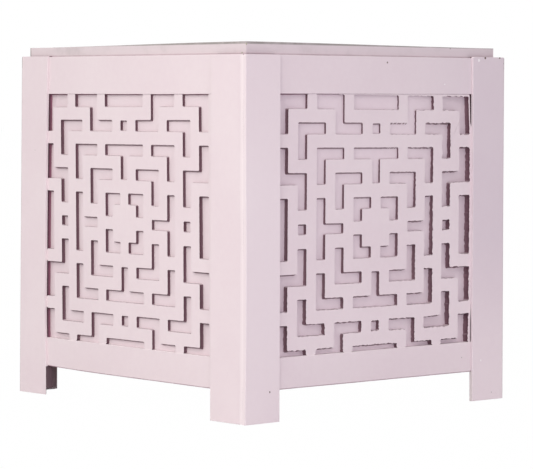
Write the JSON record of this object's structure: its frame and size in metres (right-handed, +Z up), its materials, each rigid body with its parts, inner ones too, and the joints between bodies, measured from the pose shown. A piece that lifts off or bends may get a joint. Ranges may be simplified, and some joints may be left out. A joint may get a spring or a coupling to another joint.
{
  "type": "fretwork planter",
  "caption": "Square wooden planter on corner feet: plain box, overlaid posts and rails, pierced lattice panels on every side and a lift-out sheet-metal liner.",
  "frame": {"origin": "on the floor, under the middle of the square planter", "axes": "+Z up, -Y towards the front face (the right-hand visible face of the picture), -X towards the left face (the left-hand visible face)"},
  "size_m": [0.4064, 0.4064, 0.4146],
  "materials": {
    "painted_box": "satin",
    "painted_frame": "satin",
    "painted_packer": "satin",
    "painted_fret": "satin",
    "bare_softwood": "raw",
    "leg_wood": "raw",
    "fastener_steel": "dull",
    "screw_steel": "zinc plated",
    "galvanised_sheet": "galvanised",
    "strap_steel": "galvanised"
  },
  "bodies": {
    "planter": {"box_wall_front": "painted_box", "box_wall_right": "painted_box", "box_wall_back": "painted_box", "box_wall_left": "painted_box", "floor_cleat_front": "bare_softwood", "floor_cleat_right": "bare_softwood", "floor_cleat_back": "bare_softwood", "floor_cleat_left": "bare_softwood", "floor_slat_1": "bare_softwood", "floor_slat_2": "bare_softwood", "floor_slat_3": "bare_softwood", "floor_slat_4": "bare_softwood", "floor_slat_5": "bare_softwood", "leg_block_1": "leg_wood", "leg_block_2": "leg_wood", "leg_block_3": "leg_wood", "leg_block_4": "leg_wood", "post_board_front_left": "painted_frame", "post_board_front_right": "painted_frame", "post_board_right_front": "painted_frame", "post_board_right_rear": "painted_frame", "post_board_back_right": "painted_frame", "post_board_back_left": "painted_frame", "post_board_left_rear": "painted_frame", "post_board_left_front": "painted_frame", "post_packer_front_left": "painted_packer", "post_packer_front_right": "painted_packer", "post_packer_right_front": "painted_packer", "post_packer_right_rear": "painted_packer", "post_packer_back_right": "painted_packer", "post_packer_back_left": "painted_packer", "post_packer_left_rear": "painted_packer", "post_packer_left_front": "painted_packer", "top_rail_front": "painted_frame", "top_rail_right": "painted_frame", "top_rail_back": "painted_frame", "top_rail_left": "painted_frame", "bottom_rail_front": "painted_frame", "bottom_rail_right": "painted_frame", "bottom_rail_back": "painted_frame", "bottom_rail_left": "painted_frame", "fret_panel_front": "painted_fret", "fret_panel_right": "painted_fret", "fret_panel_back": "painted_fret", "fret_panel_left": "painted_fret", "post_brads": "fastener_steel", "rail_brads": "fastener_steel", "corner_nails": "fastener_steel", "cleat_screws": "screw_steel", "floor_screws": "screw_steel"},
    "liner": {"liner_pan": "galvanised_sheet", "liner_handle_left": "strap_steel", "liner_handle_right": "strap_steel", "liner_rivets": "strap_steel"}
  },
  "joints": [
    {"name": "liner_lift", "type": "slide", "parent": "planter", "child": "liner", "axis": [0, 0, 1], "range_m": [0, 0.36]}
  ]
}
